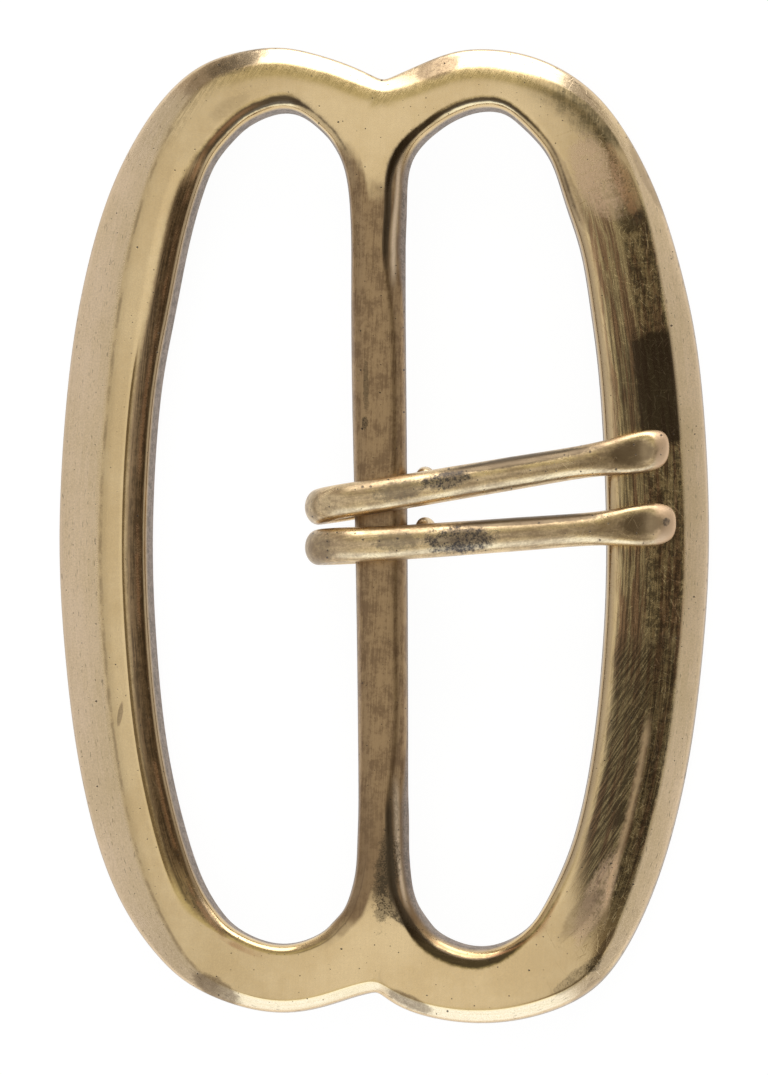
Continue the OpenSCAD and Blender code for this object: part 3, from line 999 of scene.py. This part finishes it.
def frameAreas(brass):
    # where each part of the finish lies
    brass.high, brass.wide = worked("ABSOLUTE", brass.y), worked("ABSOLUTE", brass.x)
    brass.face = 1 - brass.bevel
    for name in ("upper", "rightBow", "nearBar", "barBand"):
        setattr(brass, name, brass.area(name))
    brass.barForm = brass.nearBar * brass.area("barForm")
    brass.fromMiddle = worked("ABSOLUTE", brass.y - brass.look["barMiddle"])
    for name in ("barHigh", "crownHigh", "crownIn", "slant"):
        setattr(brass, name, brass.measure(name))
    brass.onBar = brass.nearBar * brass.area("bar")
    brass.onCrown = brass.rightBow * brass.face * brass.area("crown")
    reach = blendedNumber(brass.upper, brass.area("reachLow"), brass.area("reachTop"))
    brass.pastReach = brass.measure("fromBand") - reach
    for name in ("outer", "solid", "topStrip", "facetLine"):
        setattr(brass, name, brass.area(name))
    brass.paleLine = brass.onCrown * brass.area("paleLine")
    brass.leftRidge = brass.area("leftRidge") * brass.mix("leftRidge")
    brass.shoulder = brass.face * brass.area("shoulder")
    brass.turned = brass.face * brass.area("turned") * strongest(1 - brass.nearBar, brass.area("overBar"))
    brass.lip = brass.area("lip") * (1 - brass.barForm)
    brass.redLine = strongest(brass.area("redLeft") * brass.mix("redLeft"), brass.area("redLow"))
    brass.stemLine = brass.nearBar * brass.area("stemLine")
    brass.hollowIn = brass.hollow * brass.area("hollow")
    brass.deep = strongest(brass.area("deepRight"), brass.area("deepTop"))  # hollows painted nearly black on the right half and at the top: tarnish and painted shade


def frameMarks(brass):
    # scratches and pits, the dashes in the brushing of the bevels, and what the relief needs
    allOver, slanted, upright = [scratches(brass.where, *row) for row in brass.look["scratches"]]
    onBow = slanted * brass.rightBow * brass.area("slanted")
    brass.scratched = strongest(allOver * brass.mix("bowScratches"), onBow, upright * brass.rightBow)
    brass.pitted = brass.pitted * (1 - brass.cast)
    brass.dashes = brass.mix("dashes") * brass.bevel
    brass.brushing = brass.brushed * brass.mix("bevelBrush")
    brass.barCombed = brass.combed * brass.barForm
    brass.castGrain = brass.grain * strongest(brass.cast, brass.barForm)
    brass.grainRough = brass.mix("grainRough")


def crownColour(brass):
    # the right bow: reddish streaks, and a near-black tone, deepest beside the ridge, that is partly tarnish
    # and partly painted dark reflection
    look = brass.look
    metal = blended(brass.mix("crownRed"), look["crown"], look["crownRed"])
    innerTop = brass.mix("innerTop") * brass.area("innerFade")
    inner = blendedNumber(brass.upper, brass.mix("innerLow"), innerTop)
    outerTop = strongest(brass.mix("outerTop"), brass.strong("topStrip"))
    outer = strongest(blendedNumber(brass.upper, brass.mix("outerLow"), outerTop), brass.strong("solid"))
    return blended(blendedNumber(brass.outer, inner, outer), metal, look["crownDark"])


def stainAndShadeLayers(brass):
    # the patches of each tint, mostly stains and one patch of painted shade at the top left, which also make
    # the brass duller
    layers = []
    brass.stain = brass.mix("stain")
    streaky = brass.mix("streaky")
    for tint, (ragged, least, duller) in brass.look["patches"].items():
        part = brass.patches(tint, ragged) * sloped(streaky, 0, 1, least, 1)
        layers.append((part, brass.look[tint]))
        brass.stain = strongest(brass.stain, duller * part)
    return layers


def frameColour(brass):
    # each layer is laid over the ones before it
    look = brass.look
    bevel = brass.mix("pale") + brass.area("paleRim")
    bar = brass.mix("barWorn") * brass.area("barFade")
    tarnish = brass.mix("tarnish") * brass.mix("deepTarnish")
    colour = blended(brass.mix("warm"), look["gold"], look["warm"])
    layers = [
        (brass.bevel, blended(bevel, look["paleDark"], look["pale"])),
        (brass.onCrown, crownColour(brass)),
        (brass.strong("paleLine"), look["crownLine"]),
        # painted shade beside the ridge, on the top right and along the top
        (brass.shoulder * brass.mix("shoulder"), look["shade"]),
        (brass.turned * brass.mix("turned"), look["shade"]),
        (brass.onBar, blended(bar, look["bar"], look["barWorn"])),
        (brass.strong("stemLine"), look["pale"]),
        (brass.strong("lip"), look["lip"]),
        (brass.mix("hollow"), blended(tarnish, look["hollowDark"], look["hollow"])),
        (brass.strong("redLine"), look["red"]),
        # painted shade as a broken brown line along the left bow's ridge, and a thin brown facet line
        (strongest(brass.strong("leftRidge"), brass.strong("facetLine")), look["brown"]),
        (brass.mix("fine"), look["brown"]),
        *stainAndShadeLayers(brass),
        (brass.cast, blended(brass.freckle, look["cast"], look["castDark"])),
        (strongest(brass.strong("pitted"), brass.strong("dashes")), look["pit"]),
    ]
    for part, tint in layers:
        colour = blended(part, colour, tint)
    return colour


def frameRough(brass):
    look = brass.look
    rough = blendedNumber(brass.bevel * brass.area("bowSide"), look["faceRough"], look["bevelRough"])
    rough = blendedNumber(brass.onCrown, rough, look["crownRough"])
    rough = blendedNumber(brass.onBar, rough, look["barRough"])
    return blendedNumber(brass.cast, rough, look["castRough"])


def makeFrameFinish():
    brass = Finish("worn_frame_brass", frameFinish)
    place = brass.layer("place")
    brass.fromRidge, brass.fromOpening = splitUp(place)[1:]
    brass.bevel, brass.cast, brass.hollow = splitUp(brass.layer("kind"))
    brass.addStreaks(place, frameFinish["bowStreaks"])
    brass.freckle = brass.mix("freckle")
    frameAreas(brass)
    frameMarks(brass)
    return brass.done(frameColour(brass), frameRough(brass))


# the prongs' finish: the same brass, with patches of tarnish, and painted shade in the dish and along the
# upper edges
prongFinish = {
    "gold": (0.80, 0.61, 0.355),
    "brown": (0.42, 0.30, 0.18),
    "dark": (0.09, 0.075, 0.065),
    "end": (0.66, 0.47, 0.30),
    "rough": 0.28,
    # painted dark reflection in the dish
    "dish": (0.26, 0.185, 0.105),
    # painted shade along the upper edge of each shank
    "edge": (0.13, 0.095, 0.06),
    "depth": 0.03,  # of the relief, in millimetres
    "duller": {"mottleRough": 1, "scratched": 0.1, "tarnish": 0.12, "end": 0.2},
    "relief": {"grain": 0.12, "lumps": 0.7, "tarnishGrain": 0.6, "scratched": -0.2, "pitted": -1.2},
    "strength": {"pitted": 0.8},
    "darkRagged": 0.7,  # how ragged the tarnish is, and the painted shade in the dish and along the upper edges
    "dullRagged": 0.3,
    # size, detail, roughness and warp of the noise
    "clouds": {
        "mottle": (3.5, 3, 0.6, 0.5),
        "grain": (0.22, 2, 0.7),
        "speckle": (0.6, 4, 0.8),
        "lumps": (1.6, 1),
    },
    "streaks": {"drawn": ((0.25, 3, 3), -6, 3, 0.7)},  # along the wire
    "raggedness": 2.2,
    "scratches": [(1.8, 0.045, 8, 60), (1.0, 0.035, 0, 160)],  # cell size, width, direction, its spread
    "pits": [(0.8, 0.13, 0.35)],  # cell size, size and share of the cells
    "mix": {
        "brown": ({"mottle": 0.4, "grain": 0.25, "drawn": 0.35}, (0.38, 0.62)),
        "tarnish": ({"grain": 0.5, "speckle": 0.5}, (0.42, 0.58, 1, 0.5)),
        "mottleRough": ({"mottle": 1}, (0.3, 0.7, -0.04, 0.1)),
    },
    "area": {"end": [("x", (24.9, 25.5), 0.3)]},
    # middle, half sizes, direction, strength
    "darkPatches": [
        ((6.1, 4.5), (2.5, 0.75), 10, 1),
        ((7.4, -0.9), (3.4, 1.2), 3, 1),
        ((1.8, 3.6), (2.2, 0.9), 8, 0.6),
        ((1.6, -1.0), (2.2, 0.9), 2, 0.6),
        ((-5.9, -1.6), (1.6, 1.7), 0, 0.45),
        ((-6.2, 2.4), (0.7, 1.6), 0, 0.4),
        ((26.2, 0.75), (0.3, 0.4), 0, 0.8),
    ],
    # where the dark reflection is painted in each dish
    "dishPatches": [
        ((23.2, 7.1), (2.2, 1.15), 9, 0.85),
        ((24.0, 0.6), (2.1, 1.05), 5, 0.85),
    ],
    # where the shade is painted along the upper edge of each shank
    "edgePatches": [
        ((12.8, 6.35), (8.0, 0.5), 9.5, 0.95),
        ((13.8, 0.9), (7.5, 0.45), 4, 0.9),
    ],
}


def makeProngFinish():
    look = prongFinish
    brass = Finish("worn_prong_brass", look)
    brass.scratched = strongest(*[scratches(brass.where, *row) for row in look["scratches"]])
    brass.end = brass.area("end")
    brass.tarnish = brass.patches("dark", look["darkRagged"]) * brass.mix("tarnish")
    brass.tarnishGrain = brass.grain * brass.tarnish
    brass.mottleRough = brass.mix("mottleRough")
    colour = blended(brass.mix("brown"), look["gold"], look["brown"])
    layers = [
        (brass.end, "end"),
        # painted dark reflection in the dish, and painted shade along the upper edge of each shank
        (brass.patches("dish", look["dullRagged"]), "dish"),
        (brass.patches("edge", look["dullRagged"]), "edge"),
        (brass.tarnish, "dark"),
        (brass.strong("pitted"), "dark"),
    ]
    for part, tint in layers:
        colour = blended(part, colour, look[tint])
    return brass.done(colour, look["rough"])


buckleFrame.data.materials.append(makeFrameFinish())
prongBrass = makeProngFinish()
for prong in prongs:
    prong.data.materials.append(prongBrass)


# the room: a pale floor that glows a little, and a soft studio all round
roomLook = {
    "floorSize": 3,
    "floorGlow": 0.93,
    "floorGrey": 0.12,
}


def makeFloor():
    bm = bmesh.new()
    bmesh.ops.create_grid(bm, x_segments=1, y_segments=1, size=roomLook["floorSize"] / 2)
    mesh = bpy.data.meshes.new("floor")
    bm.to_mesh(mesh)
    bm.free()
    floor = bpy.data.objects.new("floor", mesh)
    scene.collection.objects.link(floor)
    finish = bpy.data.materials.new("pale_floor")
    finish.use_nodes = True
    shader = finish.node_tree.nodes["Principled BSDF"]
    grey = roomLook["floorGrey"]
    shader.inputs["Base Color"].default_value = (grey, grey, grey, 1)
    shader.inputs["Roughness"].default_value = 1
    shader.inputs["Specular IOR Level"].default_value = 0
    shader.inputs["Emission Color"].default_value = (1, 1, 1, 1)
    shader.inputs["Emission Strength"].default_value = roomLook["floorGlow"]
    mesh.materials.append(finish)


makeFloor()


# the studio's light by direction, in degrees from straight up, and round from +X
studioLook = {
    # the light overhead, below it and near the horizon, and where each gives way to the next
    "overhead": 0.86,
    "base": 0.74,
    "horizon": 0.62,
    "overheadEdge": (8, 20),
    "horizonEdge": (50, 75),
    # where each patch starts and ends from straight up, its middle and half width round, its light and colour
    "patch": {
        "darkRing": ((21, 27), (47, 54), 0, (120, 145), 0.17, (1, 0.87, 0.68)),
        "darkRight": ((19.5, 26), (47, 54), 2, (58, 88), 0.17, (1, 0.84, 0.62)),
        "oliveTop": ((9, 24), (46, 54), 90, (35, 60), 0.6, (1, 0.97, 0.7)),
        "softLow": ((9, 24), (50, 56), -90, (30, 50), 0.8, (1, 0.98, 0.86)),
        "beigeTop": ((50, 56), (88, 92), 36, (10, 20), 0.46, (1, 0.95, 0.88)),
        "windowTop": ((50, 55), (86, 90), 83, (25, 27.5), 3.4, (1, 1, 1)),
        "brownTop": ((50, 55), (88, 92), 128, (14, 20), 0.45, (1, 0.9, 0.8)),
        "paleLow": ((50, 56), (88, 92), -90, (28, 46), 1.42, (0.97, 1.12, 1.32)),
    },
    "seen": 1.0,  # what the camera sees past the floor
}


def makeStudio():
    look = studioLook
    world = bpy.data.worlds.new("studio")
    scene.world = world
    world.use_nodes = True
    nodes = world.node_tree.nodes
    nodes.clear()
    x, y, z = splitUp(Tone(nodes.new("ShaderNodeTexCoord").outputs["Generated"]))
    degrees = 180 / math.pi
    fromUp = degrees * worked("ARCCOSINE", z)
    turn = degrees * worked("ARCTAN2", y, x)
    light = blendedNumber(sloped(fromUp, *look["overheadEdge"]), look["overhead"], look["base"])
    light = blendedNumber(sloped(fromUp, *look["horizonEdge"]), light, look["horizon"])
    colour = (1, 1, 1)
    for start, end, middle, width, level, tint in look["patch"].values():
        away = worked("ABSOLUTE", worked("WRAP", turn - middle, 180, -180))
        part = sloped(fromUp, *start) * sloped(fromUp, *end, 1, 0) * sloped(away, *width, 1, 0)
        light = blendedNumber(part, light, level)
        colour = blended(part, colour, tint)
    lamp = nodes.new("ShaderNodeBackground")
    plug(lamp.inputs["Color"], colour)
    plug(lamp.inputs["Strength"], light)
    seen = nodes.new("ShaderNodeBackground")
    plug(seen.inputs["Color"], (1, 1, 1, 1))
    plug(seen.inputs["Strength"], look["seen"])
    cameraRay = nodes.new("ShaderNodeLightPath").outputs["Is Camera Ray"]
    mix = nodes.new("ShaderNodeMixShader")
    for socket, source in zip(mix.inputs, (cameraRay, lamp.outputs[0], seen.outputs[0])):
        plug(socket, Tone(source))
    plug(nodes.new("ShaderNodeOutputWorld").inputs["Surface"], Tone(mix.outputs[0]))


makeStudio()
print("studio ready")


# the photograph's view: nearly straight down on the buckle, from a little to the right and below
cameraLook = {
    "away": 1.0,  # metres from the aim
    "round": 3.2,  # degrees to the right, below, and turned
    "below": 2.7,
    "roll": -0.2,
    "aim": (0.1, -0.34, 3.5),  # millimetres
    "pixelsPerMm": 10.87,
    "frame": (768, 1075),
    "clip": (0.01, 20),
}


def makeCamera():
    look = cameraLook
    data = bpy.data.cameras.new("camera")
    camera = bpy.data.objects.new("camera", data)
    scene.collection.objects.link(camera)
    right, below = math.radians(look["round"]), math.radians(look["below"])
    flat = math.cos(below)
    toCamera = Vector((math.sin(right) * flat, -math.sin(below), math.cos(right) * flat))
    side = Vector((0, 1, 0)).cross(toCamera).normalized()
    turn = Matrix((side, toCamera.cross(side), toCamera)).transposed()
    turn = turn @ Matrix.Rotation(math.radians(look["roll"]), 3, "Z")
    camera.rotation_euler = turn.to_euler()
    camera.location = Vector(look["aim"]) * mm + toCamera * look["away"]
    tall = look["frame"][1] / look["pixelsPerMm"] * mm  # height of the view at the aim
    data.lens = data.sensor_width * look["away"] / tall
    data.clip_start, data.clip_end = look["clip"]
    scene.camera = camera


makeCamera()
scene.view_settings.view_transform = "Standard"
